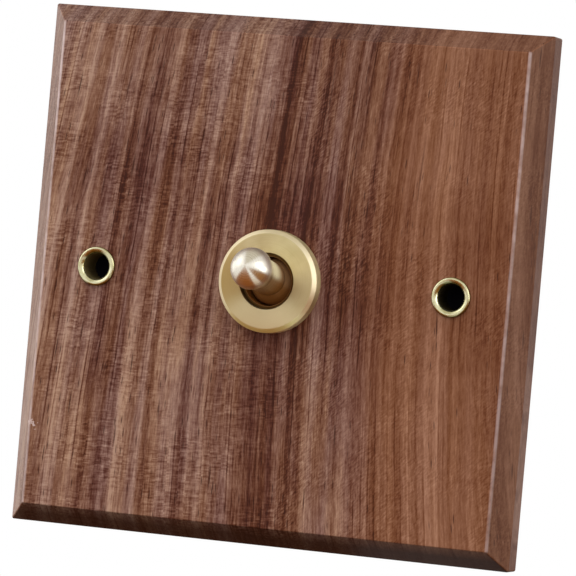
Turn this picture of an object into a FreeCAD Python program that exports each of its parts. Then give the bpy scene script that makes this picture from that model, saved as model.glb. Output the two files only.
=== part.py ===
import FreeCAD
import Part
import math
import os
import Sketcher

# A dolly switch on a walnut plate, in millimetres. X runs to the right, Z up and Y into the wall.
# The origin is the middle of the plate's back, on the wall, so the front of the plate is at minus Y.
# The dolly stands at its upper position.

doc = FreeCAD.newDocument("dolly_switch")
sheet = doc.addObject("Spreadsheet::Sheet", "dim")

SIZES = (
    # walnut plate
    ("plate_size", 85.0),
    ("plate_thick", 7.5),
    ("bevel_wide", 3.0),
    ("bevel_deep", 3.5),
    ("arris_round", 0.35),
    ("recess_margin", 1.75),
    ("recess_deep", 3.0),
    ("recess_round", 6.0),
    # eyelets and the wall screws they take
    ("screw_spacing", 60.3),
    ("eyelet_bore", 4.5),
    ("eyelet_wall", 0.3),
    ("eyelet_lip", 6.4),
    ("lip_high", 0.6),
    ("lip_round", 0.38),
    ("clinch_wide", 6.2),
    ("clinch_thick", 0.4),
    ("eyelet_slip", 0.05),
    # collar and threaded bush
    ("collar_wide", 16.6),
    ("collar_high", 2.6),
    ("collar_bevel", 0.7),
    ("collar_lip", 0.8),
    ("well_wide", 9.0),
    ("well_bevel", 0.15),
    ("thread_wide", 12.0),
    ("thread_slip", 0.05),
    ("bush_slip", 0.1),
    ("bush_end_gap", 0.1),
    ("bush_bore", 8.0),
    ("flange_margin", 1.2),
    ("bush_flange_thick", 0.8),
    ("spigot_wide", 10.4),
    ("spigot_slip", 0.02),
    # washer and nut behind the plate
    ("washer_margin", 3.0),
    ("washer_thick", 0.6),
    ("tooth_deep", 1.4),
    ("tooth_gap", 1.6),
    ("tooth_count", 12),
    ("nut_wall", 1.0),
    ("nut_thick", 2.0),
    ("nut_bevel", 0.5),
    ("nut_gap", 0.6),
    # dolly, its pin, and the plunger and spring in its tail
    ("pivot_deep", 4.0),
    ("dolly_tilt", 8.5),
    ("dolly_arm", 11.7),
    ("dome_wide", 6.75),
    ("neck_wide", 5.5),
    ("neck_at", 9.0),
    ("ball_gap", 0.15),
    ("tail_wide", 4.8),
    ("plunger_gap", 0.12),
    ("tail_bore", 3.4),
    ("tail_bore_deep", 6.6),
    ("pin_wide", 2.0),
    ("pin_inset", 0.3),
    ("pin_slip", 0.03),
    ("plunger_slip", 0.08),
    ("plunger_long", 3.2),
    ("plunger_out", 1.8),
    ("spring_wire", 0.4),
    ("spring_wide", 3.0),
    ("spring_turns", 5),
    ("end_gap", 0.1),
    # frame, liner and case
    ("frame_thick", 1.0),
    ("frame_round", 2.0),
    ("cheek_thick", 0.8),
    ("cheek_wide", 14.0),
    ("cheek_gap", 0.1),
    ("fold_long", 1.0),
    ("fold_window", 6.0),
    ("bend_round", 0.6),
    ("liner_thick", 0.5),
    ("liner_margin", 0.8),
    ("slot_wide", 6.0),
    ("slot_long", 9.4),
    ("case_wall", 2.3),
    ("case_side", 2.6),
    ("case_deep", 15.5),
    ("case_step_at", 9.5),
    ("case_step", 1.0),
    ("cavity_margin", 0.3),
    ("riser_margin", 0.2),
    ("floor_thick", 3.5),
    ("case_round", 0.8),
    ("rib_thick", 1.2),
    ("rib_high", 4.0),
    # terminals, contacts and rocker
    ("terminal_pitch", 9.4),
    ("strip_thick", 1.0),
    ("strip_wide", 6.0),
    ("strip_slip", 0.1),
    ("riser_at", 5.2),
    ("leg_margin", 0.1),
    ("tab_margin", 1.3),
    ("tab_hole", 3.6),
    ("knife_wide", 4.4),
    ("knife_thick", 1.0),
    ("knife_high", 2.4),
    ("knife_gap", 0.05),
    ("ear_thick", 0.5),
    ("ear_wide", 2.4),
    ("ear_high", 4.4),
    ("ear_slip", 0.1),
    ("ear_play", 0.35),
    ("blade_thick", 0.8),
    ("blade_wide", 6.0),
    ("blade_margin", 0.2),
    ("contact_wide", 3.0),
    ("contact_high", 0.8),
    ("contact_lead", 0.1),
    ("contact_gap", 0.03),
    # terminal screws and clamp washers
    ("screw_head", 6.0),
    ("screw_head_high", 2.0),
    ("screw_shank", 3.2),
    ("screw_long", 4.0),
    ("screw_slot", 0.9),
    ("screw_slot_deep", 0.9),
    ("screw_edge", 0.3),
    ("screw_hole", 3.7),
    ("screw_end_gap", 0.2),
    ("clamp_size", 6.6),
    ("clamp_thick", 0.8),
)
for row, (word, value) in enumerate(SIZES, 1):
    sheet.set("A%d" % row, word)
    sheet.set("B%d" % row, str(value))
    sheet.setAlias("B%d" % row, word)
doc.recompute()


def size(word):
    return float(getattr(sheet, word))


# Planes along Y that several pieces share, each as an expression.
front_y = "(0 - dim.plate_thick)"
web_y = "(0 - dim.recess_deep)"
collar_y = "(0 - dim.plate_thick - dim.collar_high)"
pivot_y = "(dim.pivot_deep - dim.plate_thick - dim.collar_high)"
washer_y = "(dim.washer_thick - dim.recess_deep)"
nut_y = "(dim.washer_thick + dim.nut_thick - dim.recess_deep)"
flange_y = "(dim.washer_thick + dim.nut_thick + dim.nut_gap - dim.recess_deep)"
frame_y = "(%s + dim.bush_flange_thick)" % flange_y
liner_y = "(%s + dim.frame_thick)" % frame_y
case_y = "(%s + dim.liner_thick)" % liner_y
step_y = "(%s + dim.case_step_at)" % case_y
back_y = "(%s + dim.case_deep)" % case_y
floor_y = "(%s - dim.floor_thick)" % back_y
leg_y = "(%s - dim.strip_thick)" % floor_y
knife_y = "(%s - dim.knife_high)" % leg_y
blade_back = "(0 - dim.knife_thick / 2 - dim.knife_gap)"
blade_front = "(%s + %s - dim.blade_thick)" % (knife_y, blade_back)
tab_y = "(%s + dim.strip_thick)" % back_y
clamp_y = "(%s + dim.clamp_thick)" % tab_y

# Sizes that grow out from the eyelets and from the thread of the bush.
recess_size = "(dim.screw_spacing + dim.clinch_wide + 2 * dim.recess_margin)"
flange_wide = "(dim.thread_wide + 2 * dim.flange_margin)"
washer_wide = "(dim.thread_wide + 2 * dim.washer_margin)"
nut_flats = "(dim.thread_wide + 2 * dim.nut_wall)"
pin_long = "(dim.thread_wide - 2 * dim.pin_inset)"

# Sizes across the switch body, which grow out from the terminals.
contact_arm = "(dim.terminal_pitch + dim.contact_lead)"
blade_long = "(2 * (%s + dim.contact_wide / 2 + dim.blade_margin))" % contact_arm
cavity_wide = "(2 * (dim.riser_at + dim.riser_margin))"
cavity_long = "(2 * (dim.terminal_pitch + dim.strip_wide / 2 + dim.cavity_margin))"
case_wide = "(%s + 2 * dim.case_side)" % cavity_wide
case_long = "(%s + 2 * dim.case_wall)" % cavity_long
leg_reach = "(dim.blade_wide / 2 + dim.leg_margin)"
tab_reach = "(dim.clamp_size / 2 + dim.tab_margin)"


def new_body(label):
    body = doc.addObject("PartDesign::Body", label)
    body.Label = label
    return body


def sketch_on(body, name, role, offset):
    sketch = body.newObject("Sketcher::SketchObject", name)
    plane = [item for item in body.Origin.OriginFeatures if item.Role == role][0]
    sketch.AttachmentSupport = [(plane, "")]
    sketch.MapMode = "FlatFace"
    sketch.setExpression("AttachmentOffset.Base.z", offset)
    return sketch


def datum(sketch, kind, geometry, point, value, expression):
    index = sketch.addConstraint(Sketcher.Constraint(kind, -1, 1, geometry, point, value))
    sketch.setExpression("Constraints[%d]" % index, expression)


def polygon(sketch, corners):
    count = len(corners)
    turn = [0.3 + 2 * math.pi * step / count for step in range(count)]
    spots = [FreeCAD.Vector(50 + 20 * math.cos(a), 50 + 20 * math.sin(a), 0) for a in turn]
    first = sketch.GeometryCount
    for step in range(count):
        sketch.addGeometry(Part.LineSegment(spots[step], spots[(step + 1) % count]), False)
    for step in range(count):
        after = first + (step + 1) % count
        sketch.addConstraint(Sketcher.Constraint("Coincident", first + step, 2, after, 1))
    for step, (across, up) in enumerate(corners):
        datum(sketch, "DistanceX", first + step, 1, spots[step].x, across)
        datum(sketch, "DistanceY", first + step, 1, spots[step].y, up)


def rectangle(sketch, left, right, low, high):
    polygon(sketch, [(left, low), (right, low), (right, high), (left, high)])


def centred(sketch, wide, tall):
    rectangle(sketch, "0 - %s / 2" % wide, "%s / 2" % wide, "0 - %s / 2" % tall, "%s / 2" % tall)


def circle(sketch, across, up, wide):
    ring = Part.Circle(FreeCAD.Vector(50, 50, 0), FreeCAD.Vector(0, 0, 1), 5)
    geometry = sketch.addGeometry(ring, False)
    datum(sketch, "DistanceX", geometry, 3, 50, across)
    datum(sketch, "DistanceY", geometry, 3, 50, up)
    index = sketch.addConstraint(Sketcher.Constraint("Diameter", geometry, 10))
    sketch.setExpression("Constraints[%d]" % index, wide)


def extrude(body, kind, sketch, length):
    feature = body.newObject("PartDesign::" + kind, sketch.Name + "_" + kind.lower())
    feature.Profile = sketch
    feature.setExpression("Length", length)
    body.Tip = feature
    doc.recompute()
    return feature


def slab(body, name, y_back, thick, draw):
    # A plate standing across Y, from y_back towards the front.
    sketch = sketch_on(body, name, "XZ_Plane", "0 - " + y_back)
    draw(sketch)
    return extrude(body, "Pad", sketch, thick)


def cut(body, name, y_front, deep, draw):
    # A cut across Y, from y_front towards the wall.
    sketch = sketch_on(body, name, "XZ_Plane", "0 - " + y_front)
    draw(sketch)
    before = body.Shape.Volume
    feature = extrude(body, "Pocket", sketch, deep)
    if not feature.Shape.Volume < before:
        raise ValueError(name + " removes nothing")
    return feature


def turned(body, name, corners, kind="Revolution"):
    # A profile of (along Y, radius) corners turned about Y.
    sketch = sketch_on(body, name, "YZ_Plane", "0")
    polygon(sketch, corners)
    feature = body.newObject("PartDesign::" + kind, name + "_turned")
    feature.Profile = sketch
    feature.ReferenceAxis = (sketch, ["H_Axis"])
    feature.Angle = 360
    body.Tip = feature
    doc.recompute()
    return feature


def cross_hole(body, name, y_at, wide):
    # A round hole right through along X.
    sketch = sketch_on(body, name, "YZ_Plane", "dim.thread_wide")
    circle(sketch, y_at, "0", wide)
    before = body.Shape.Volume
    feature = extrude(body, "Pocket", sketch, "2 * dim.thread_wide")
    if not feature.Shape.Volume < before:
        raise ValueError(name + " removes nothing")
    return feature


def ball(body, name, y_at, radius):
    feature = body.newObject("PartDesign::AdditiveSphere", name)
    feature.setExpression("Radius", radius)
    feature.setExpression("Placement.Base.y", y_at)
    body.Tip = feature
    doc.recompute()
    return feature


def dress(body, kind, name, pick, amount):
    # A fillet or chamfer on the edges that pick accepts.
    base = body.Tip
    edges = base.Shape.Edges
    names = ["Edge%d" % (index + 1) for index, edge in enumerate(edges) if pick(edge)]
    if not names:
        raise ValueError(name + " finds no edge")
    feature = body.newObject("PartDesign::" + kind, name)
    feature.Base = (base, names)
    feature.setExpression("Radius" if kind == "Fillet" else "Size", amount)
    body.Tip = feature
    doc.recompute()
    return feature


def middle(edge):
    return edge.valueAt((edge.FirstParameter + edge.LastParameter) / 2)


def near(one, other):
    return abs(one - other) < 1e-4


def along_y(edge):
    box = edge.BoundBox
    return box.XLength < 1e-4 and box.ZLength < 1e-4


def along_z(edge):
    box = edge.BoundBox
    return box.XLength < 1e-4 and box.YLength < 1e-4


def circle_at(edge, y_at, radius):
    is_round = hasattr(edge.Curve, "Radius")
    return is_round and near(edge.Curve.Radius, radius) and near(edge.Curve.Center.y, y_at)


def tilted(item, y_at, angle):
    # Stands the item at a pivot on the Y axis, turned about X.
    turn = FreeCAD.Rotation(FreeCAD.Vector(1, 0, 0), 5)
    item.Placement = FreeCAD.Placement(FreeCAD.Vector(0, 0, 0), turn)
    item.setExpression("Placement.Base.y", y_at)
    item.setExpression("Placement.Rotation.Angle", angle)


def together(label, items):
    joined = doc.addObject("Part::Compound", label)
    joined.Label = label
    joined.Links = items
    return joined


nodes = []

# Walnut plate: a bevelled square, hollowed behind to leave a web that the bush and eyelets pass through.
plate = new_body("walnut_plate")
slab(plate, "plate_outline", "0", "dim.plate_thick", lambda s: centred(s, "dim.plate_size", "dim.plate_size"))
plate_front = -size("plate_thick")
bevel = dress(plate, "Chamfer", "plate_bevel", lambda e: near(e.BoundBox.YMax, plate_front), "dim.bevel_deep")
bevel.ChamferType = "Two distances"
bevel.setExpression("Size2", "dim.bevel_wide")
doc.recompute()
dress(plate, "Fillet", "plate_arrises", lambda e: e.BoundBox.YMin < -1e-4, "dim.arris_round")
cut(plate, "recess", web_y, "dim.recess_deep", lambda s: centred(s, recess_size, recess_size))
recess_half = (size("screw_spacing") + size("clinch_wide")) / 2 + size("recess_margin")
dress(
    plate,
    "Fillet",
    "recess_corners",
    lambda e: along_y(e) and near(abs(middle(e).x), recess_half) and near(abs(middle(e).z), recess_half),
    "dim.recess_round",
)


def plate_holes(sketch):
    circle(sketch, "0", "0", "dim.thread_wide + 2 * dim.bush_slip")
    for side in ("0 - dim.screw_spacing / 2", "dim.screw_spacing / 2"):
        circle(sketch, side, "0", "dim.eyelet_bore + 2 * dim.eyelet_wall + 2 * dim.eyelet_slip")


cut(plate, "holes", front_y, "dim.plate_thick", plate_holes)
nodes.append(plate)


# Eyelets: thin brass tubes rolled over in front and clinched behind the web.
def eyelet(label, place):
    body = new_body(label)
    lip_y = "(%s - dim.lip_high)" % front_y
    clinch_y = "(%s + dim.clinch_thick)" % web_y
    bore = "dim.eyelet_bore / 2"
    tube = "dim.eyelet_bore / 2 + dim.eyelet_wall"
    corners = [
        (lip_y, bore),
        (lip_y, "dim.eyelet_lip / 2"),
        (front_y, "dim.eyelet_lip / 2"),
        (front_y, tube),
        (web_y, tube),
        (web_y, "dim.clinch_wide / 2"),
        (clinch_y, "dim.clinch_wide / 2"),
        (clinch_y, bore),
    ]
    turned(body, label + "_profile", corners)
    face = -size("plate_thick") - size("lip_high")
    rims = (size("eyelet_lip") / 2, size("eyelet_bore") / 2)
    dress(
        body,
        "Fillet",
        label + "_roll",
        lambda e: any(circle_at(e, face, rim) for rim in rims),
        "dim.lip_round",
    )
    body.setExpression("Placement.Base.x", place)
    return body


nodes.append(eyelet("left_eyelet", "0 - dim.screw_spacing / 2"))
nodes.append(eyelet("right_eyelet", "dim.screw_spacing / 2"))

# Collar: a round brass nut with a flat face, drawn down on the bush's thread.
collar = new_body("collar_ring")
collar_inside = "(%s + dim.collar_lip)" % collar_y
nut_bore = "dim.thread_wide / 2 + dim.thread_slip"
turned(
    collar,
    "collar_profile",
    [
        ("%s + dim.well_bevel" % collar_y, "dim.well_wide / 2"),
        (collar_y, "dim.well_wide / 2 + dim.well_bevel"),
        (collar_y, "dim.collar_wide / 2 - dim.collar_bevel"),
        ("%s + dim.collar_bevel" % collar_y, "dim.collar_wide / 2"),
        (front_y, "dim.collar_wide / 2"),
        (front_y, nut_bore),
        (collar_inside, nut_bore),
        (collar_inside, "dim.well_wide / 2"),
    ],
)
nodes.append(collar)

# Threaded bush: holds the dolly's pin, with a flange in front of the frame and a spigot staked into it.
bush = new_body("threaded_bush")
bush_front = "(%s + dim.bush_end_gap)" % collar_inside
turned(
    bush,
    "bush_profile",
    [
        (bush_front, "dim.bush_bore / 2"),
        (bush_front, "dim.thread_wide / 2"),
        (flange_y, "dim.thread_wide / 2"),
        (flange_y, "%s / 2" % flange_wide),
        (frame_y, "%s / 2" % flange_wide),
        (frame_y, "dim.spigot_wide / 2"),
        (liner_y, "dim.spigot_wide / 2"),
        (liner_y, "dim.bush_bore / 2"),
    ],
)
cross_hole(bush, "bush_pin_hole", pivot_y, "dim.pin_wide + 2 * dim.pin_slip")
nodes.append(bush)

# Lock washer: a spring steel ring with teeth all round, under the back nut.
washer = new_body("lock_washer")


def washer_ring(sketch):
    circle(sketch, "0", "0", washer_wide)
    circle(sketch, "0", "0", "dim.thread_wide + 2 * dim.thread_slip")


slab(washer, "washer_ring", washer_y, "dim.washer_thick", washer_ring)
notch = cut(
    washer,
    "washer_notch",
    web_y,
    "dim.washer_thick",
    lambda s: rectangle(
        s,
        "0 - dim.tooth_gap / 2",
        "dim.tooth_gap / 2",
        "%s / 2 - dim.tooth_deep" % washer_wide,
        "%s / 2 + dim.tooth_deep" % washer_wide,
    ),
)
teeth = washer.newObject("PartDesign::PolarPattern", "washer_teeth")
teeth.Originals = [notch]
teeth.Axis = ([item for item in washer.Origin.OriginFeatures if item.Role == "Y_Axis"][0], [""])
teeth.Angle = 360
washer.Tip = teeth
teeth.setExpression("Occurrences", "dim.tooth_count")
doc.recompute()
nodes.append(washer)

# Back nut: a thin hexagon that sets how far the bush stands through the plate.
nut = new_body("back_nut")


def hexagon(sketch):
    point = "%s / sqrt(3)" % nut_flats
    short = "%s / sqrt(12)" % nut_flats
    flat = "%s / 2" % nut_flats
    polygon(
        sketch,
        [
            (point, "0"),
            (short, flat),
            ("0 - " + short, flat),
            ("0 - " + point, "0"),
            ("0 - " + short, "0 - " + flat),
            (short, "0 - " + flat),
        ],
    )
    circle(sketch, "0", "0", "dim.thread_wide + 2 * dim.thread_slip")


slab(nut, "nut_hexagon", nut_y, "dim.nut_thick", hexagon)
turned(
    nut,
    "nut_corners",
    [
        (nut_y, "%s / 2" % nut_flats),
        (nut_y, "%s / sqrt(3) + dim.nut_bevel" % nut_flats),
        ("%s - dim.nut_bevel" % nut_y, "%s / sqrt(3) + dim.nut_bevel" % nut_flats),
        ("%s - dim.nut_bevel" % nut_y, "%s / sqrt(3)" % nut_flats),
    ],
    "Groove",
)
nodes.append(nut)

# Dolly: turned brass, a domed bat handle, a ball on the pin and a hollow tail that holds the plunger.
# Its places are counted along its own axis from the pin, and the plunger's nose clears the level rocker.
plunger_radius = "(dim.tail_bore / 2 - dim.plunger_slip)"
nose_y = "(%s - %s - dim.plunger_gap - %s)" % (blade_front, pivot_y, plunger_radius)
tail_y = "(%s - dim.plunger_out)" % nose_y
bore_y = "(%s - dim.tail_bore_deep)" % tail_y
plunger_y = "(%s - dim.plunger_long)" % nose_y
dolly = new_body("dolly")
turned(
    dolly,
    "dolly_profile",
    [
        ("0 - dim.dolly_arm", "0"),
        ("0 - dim.dolly_arm", "dim.dome_wide / 2"),
        ("0 - dim.neck_at", "dim.neck_wide / 2"),
        ("0", "dim.neck_wide / 2"),
        ("0", "dim.tail_wide / 2"),
        (tail_y, "dim.tail_wide / 2"),
        (tail_y, "0"),
    ],
)
ball(dolly, "dolly_dome", "0 - dim.dolly_arm", "dim.dome_wide / 2")
ball(dolly, "dolly_ball", "0", "dim.bush_bore / 2 - dim.ball_gap")
cross_hole(dolly, "dolly_pin_hole", "0", "dim.pin_wide + 2 * dim.pin_slip")
cut(dolly, "dolly_bore", bore_y, "dim.tail_bore_deep", lambda s: circle(s, "0", "0", "dim.tail_bore"))
tilted(dolly, pivot_y, "(0 - dim.dolly_tilt) * 1 deg")
nodes.append(dolly)

# Pivot pin: a plain steel pin across the bush, which the dolly's ball turns on.
pin = doc.addObject("Part::Cylinder", "pivot_pin")
pin.Label = "pivot_pin"
pin.setExpression("Radius", "dim.pin_wide / 2")
pin.setExpression("Height", pin_long)
pin.Placement = FreeCAD.Placement(FreeCAD.Vector(), FreeCAD.Rotation(FreeCAD.Vector(0, 1, 0), 90))
pin.setExpression("Placement.Base.x", "0 - %s / 2" % pin_long)
pin.setExpression("Placement.Base.y", pivot_y)
nodes.append(pin)

# Plunger: a round-nosed pin that slides in the dolly's tail and presses on the rocker.
plunger = new_body("plunger")
turned(
    plunger,
    "plunger_profile",
    [(plunger_y, "0"), (plunger_y, plunger_radius), (nose_y, plunger_radius), (nose_y, "0")],
)
ball(plunger, "plunger_nose", nose_y, plunger_radius)
tilted(plunger, pivot_y, "(0 - dim.dolly_tilt) * 1 deg")
nodes.append(plunger)

# Plunger spring: a coil between the bottom of the tail's bore and the plunger.
spring = new_body("plunger_spring")
spring_y = "(%s + dim.end_gap + dim.spring_wire / 2)" % bore_y
spring_long = "(%s - %s - 2 * dim.end_gap - dim.spring_wire)" % (plunger_y, bore_y)
wire = sketch_on(spring, "spring_wire", "YZ_Plane", "0")
circle(wire, spring_y, "dim.spring_wide / 2 - dim.spring_wire / 2", "dim.spring_wire")
coil = spring.newObject("PartDesign::AdditiveHelix", "spring_coil")
coil.Profile = wire
coil.ReferenceAxis = (wire, ["H_Axis"])
coil.Mode = "height-turns-angle"
coil.setExpression("Height", spring_long)
coil.setExpression("Turns", "dim.spring_turns")
coil.Angle = 0
spring.Tip = coil
doc.recompute()
tilted(spring, pivot_y, "(0 - dim.dolly_tilt) * 1 deg")
nodes.append(spring)

# Frame: one steel pressing, a front plate with two cheeks folded behind the case's steps.
steel = new_body("switch_frame")
inside = "(%s / 2 + dim.cheek_gap)" % case_wide
outside = "(%s + dim.cheek_thick)" % inside
fold_in = "(%s - dim.fold_long)" % inside
fold_y = "(%s + dim.cheek_thick)" % step_y
channel = sketch_on(steel, "frame_channel", "XY_Plane", "0 - dim.cheek_wide / 2")
polygon(
    channel,
    [
        ("0 - " + outside, frame_y),
        (outside, frame_y),
        (outside, fold_y),
        (fold_in, fold_y),
        (fold_in, step_y),
        (inside, step_y),
        (inside, liner_y),
        ("0 - " + inside, liner_y),
        ("0 - " + inside, step_y),
        ("0 - " + fold_in, step_y),
        ("0 - " + fold_in, fold_y),
        ("0 - " + outside, fold_y),
    ],
)
extrude(steel, "Pad", channel, "dim.cheek_wide")
slab(
    steel,
    "frame_plate",
    liner_y,
    "dim.frame_thick",
    lambda s: rectangle(
        s,
        "0 - " + outside,
        outside,
        "0 - %s / 2" % case_long,
        "%s / 2" % case_long,
    ),
)
frame_half = steel.Tip.Shape.BoundBox.ZMax
frame_side = steel.Tip.Shape.BoundBox.XMax
dress(
    steel,
    "Fillet",
    "frame_corners",
    lambda e: along_y(e) and near(abs(middle(e).z), frame_half),
    "dim.frame_round",
)
fold_back = max(edge.BoundBox.YMax for edge in steel.Tip.Shape.Edges)
dress(
    steel,
    "Fillet",
    "frame_folds",
    lambda e: along_z(e) and near(abs(middle(e).x), frame_side) and near(middle(e).y, fold_back),
    "dim.bend_round",
)
cut(
    steel,
    "frame_hole",
    frame_y,
    "dim.frame_thick",
    lambda s: circle(s, "0", "0", "dim.spigot_wide + 2 * dim.spigot_slip"),
)
cut(
    steel,
    "frame_window",
    "(%s - dim.fold_long)" % step_y,
    "dim.fold_long + dim.cheek_thick",
    lambda s: rectangle(
        s,
        "0 - " + outside,
        outside,
        "0 - dim.fold_window / 2",
        "dim.fold_window / 2",
    ),
)
nodes.append(steel)

# Fibre liner: an insulating card between the frame and the open front of the case.
liner = new_body("fibre_liner")


def liner_outline(sketch):
    centred(sketch, "(%s - 2 * dim.liner_margin)" % case_wide, "(%s - 2 * dim.liner_margin)" % case_long)
    centred(sketch, "dim.slot_wide", "dim.slot_long")


slab(liner, "liner_outline", case_y, "dim.liner_thick", liner_outline)
nodes.append(liner)

# Case: a phenolic moulding, open in front, with three terminal seats and ribs between them behind.
case = new_body("case")
slab(
    case,
    "case_block",
    back_y,
    "dim.case_deep",
    lambda s: centred(s, "(%s - 2 * dim.case_step)" % case_wide, case_long),
)
slab(case, "case_shoulder", step_y, "dim.case_step_at", lambda s: centred(s, case_wide, case_long))
case_half = case.Tip.Shape.BoundBox.ZMax
dress(
    case,
    "Fillet",
    "case_corners",
    lambda e: along_y(e) and near(abs(middle(e).z), case_half),
    "dim.case_round",
)


def case_ribs(sketch):
    edge = "(%s / 2 - dim.case_step)" % case_wide
    for side in ("0 - dim.terminal_pitch / 2", "dim.terminal_pitch / 2"):
        low = "%s - dim.rib_thick / 2" % side
        high = "%s + dim.rib_thick / 2" % side
        rectangle(sketch, "0 - " + edge, edge, low, high)


slab(case, "case_ribs", "(%s + dim.rib_high)" % back_y, "dim.rib_high + dim.floor_thick / 2", case_ribs)
cut(
    case,
    "case_cavity",
    case_y,
    "dim.case_deep - dim.floor_thick",
    lambda s: centred(s, cavity_wide, cavity_long),
)
places = ("0", "dim.terminal_pitch", "0 - dim.terminal_pitch")


def riser_slots(sketch):
    for place in places:
        rectangle(
            sketch,
            "0 - dim.riser_at - dim.strip_slip",
            "0 - dim.riser_at + dim.strip_thick + dim.strip_slip",
            "%s - dim.strip_wide / 2 - dim.strip_slip" % place,
            "%s + dim.strip_wide / 2 + dim.strip_slip" % place,
        )


def screw_holes(sketch):
    for place in places:
        circle(sketch, "0", place, "dim.screw_hole")


hole_y = "(%s - dim.screw_long - dim.screw_end_gap)" % clamp_y
cut(case, "case_slots", floor_y, "dim.floor_thick", riser_slots)
cut(case, "case_screw_holes", hole_y, "%s - %s" % (back_y, hole_y), screw_holes)
nodes.append(case)


# Terminals: brass strips folded round the case's floor, a leg inside and a screw tab outside.
def terminal(label, place):
    body = new_body(label)
    sketch = sketch_on(body, label + "_strip", "XY_Plane", "%s - dim.strip_wide / 2" % place)
    outer = "0 - dim.riser_at"
    inner = "dim.strip_thick - dim.riser_at"
    polygon(
        sketch,
        [
            (leg_reach, leg_y),
            (outer, leg_y),
            (outer, tab_y),
            (tab_reach, tab_y),
            (tab_reach, back_y),
            (inner, back_y),
            (inner, floor_y),
            (leg_reach, floor_y),
        ],
    )
    extrude(body, "Pad", sketch, "dim.strip_wide")
    cut(
        body,
        label + "_hole",
        back_y,
        "dim.strip_thick",
        lambda s: circle(s, "0", place, "dim.tab_hole"),
    )
    return body


common = terminal("common_terminal", places[0])
slab(common, "knife", leg_y, "dim.knife_high", lambda s: centred(s, "dim.knife_wide", "dim.knife_thick"))
edge = common.newObject("PartDesign::AdditiveCylinder", "knife_edge")
edge.setExpression("Radius", "dim.knife_thick / 2")
edge.setExpression("Height", "dim.knife_wide")
edge.Placement = FreeCAD.Placement(FreeCAD.Vector(), FreeCAD.Rotation(FreeCAD.Vector(0, 1, 0), 90))
edge.setExpression("Placement.Base.x", "0 - dim.knife_wide / 2")
edge.setExpression("Placement.Base.y", knife_y)
common.Tip = edge
doc.recompute()


def knife_ears(sketch):
    low = "(dim.blade_wide / 2 - dim.ear_thick)"
    high = "(dim.blade_wide / 2)"
    rectangle(sketch, low, high, "0 - dim.ear_wide / 2", "dim.ear_wide / 2")
    rectangle(sketch, "0 - " + high, "0 - " + low, "0 - dim.ear_wide / 2", "dim.ear_wide / 2")


slab(common, "knife_ears", "(%s + dim.strip_thick / 2)" % leg_y, "dim.ear_high", knife_ears)
nodes.append(common)
nodes.append(terminal("upper_terminal", places[1]))
nodes.append(terminal("lower_terminal", places[2]))

# Rocker blade: a copper strip that tips on the knife edge, kept in place by the ears.
blade = new_body("rocker_blade")
slab(blade, "blade_strip", blade_back, "dim.blade_thick", lambda s: centred(s, "dim.blade_wide", blade_long))


def blade_notches(sketch):
    low = "(dim.blade_wide / 2 - dim.ear_thick - dim.ear_slip)"
    high = "(dim.blade_wide / 2 + dim.ear_thick)"
    half = "(dim.ear_wide / 2 + dim.ear_play)"
    rectangle(sketch, low, high, "0 - " + half, half)
    rectangle(sketch, "0 - " + high, "0 - " + low, "0 - " + half, half)


cut(blade, "blade_notches", "(%s - dim.blade_thick)" % blade_back, "dim.blade_thick", blade_notches)
tilted(blade, knife_y, "dim.dolly_tilt * 1 deg")
nodes.append(blade)


# Contacts: silver buttons, a pair on the rocker and a pair on the outer terminals.
def button(label, y_start, high, place):
    stud = doc.addObject("Part::Cylinder", label)
    stud.setExpression("Radius", "dim.contact_wide / 2")
    stud.setExpression("Height", high)
    turn = FreeCAD.Rotation(FreeCAD.Vector(1, 0, 0), -90)
    stud.Placement = FreeCAD.Placement(FreeCAD.Vector(), turn)
    stud.setExpression("Placement.Base.y", y_start)
    stud.setExpression("Placement.Base.z", place)
    return stud


sides = (contact_arm, "0 - " + contact_arm)
moving = [
    button("moving_contact_%d" % index, blade_back, "dim.contact_high", side) for index, side in enumerate(sides)
]
rocker_contacts = together("rocker_contacts", moving)
tilted(rocker_contacts, knife_y, "dim.dolly_tilt * 1 deg")
nodes.append(rocker_contacts)
moving_face = "(dim.contact_high - dim.knife_thick / 2 - dim.knife_gap)"
contact_edge = "(%s + dim.contact_wide / 2)" % contact_arm
fixed_face = "(%s + %s * cos(dim.dolly_tilt) + %s * sin(dim.dolly_tilt) + dim.contact_gap)" % (
    knife_y,
    moving_face,
    contact_edge,
)
fixed = [
    button("fixed_contact_%d" % index, fixed_face, "%s - %s" % (leg_y, fixed_face), place)
    for index, place in enumerate(places[1:])
]
nodes.append(together("fixed_contacts", fixed))


# Terminal screws and their square clamp washers, one of each on every tab.
def terminal_screw(label, place):
    body = new_body(label)
    head_y = "(%s + dim.screw_head_high)" % clamp_y
    turned(
        body,
        label + "_profile",
        [
            ("%s - dim.screw_long" % clamp_y, "0"),
            ("%s - dim.screw_long" % clamp_y, "dim.screw_shank / 2"),
            (clamp_y, "dim.screw_shank / 2"),
            (clamp_y, "dim.screw_head / 2"),
            ("%s - dim.screw_edge" % head_y, "dim.screw_head / 2"),
            (head_y, "dim.screw_head / 2 - dim.screw_edge"),
            (head_y, "0"),
        ],
    )
    cut(
        body,
        label + "_slot",
        "(%s - dim.screw_slot_deep)" % head_y,
        "dim.screw_slot_deep",
        lambda s: centred(s, "1.2 * dim.screw_head", "dim.screw_slot"),
    )
    body.setExpression("Placement.Base.z", place)
    return body


def clamp_washer(label, place):
    body = new_body(label)

    def outline(sketch):
        centred(sketch, "dim.clamp_size", "dim.clamp_size")
        circle(sketch, "0", "0", "dim.tab_hole")

    slab(body, label + "_outline", clamp_y, "dim.clamp_thick", outline)
    body.setExpression("Placement.Base.z", place)
    return body


screws = [terminal_screw("screw_%d" % index, place) for index, place in enumerate(places)]
clamps = [clamp_washer("clamp_%d" % index, place) for index, place in enumerate(places)]
nodes.append(together("terminal_screws", screws))
nodes.append(together("clamp_washers", clamps))

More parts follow.
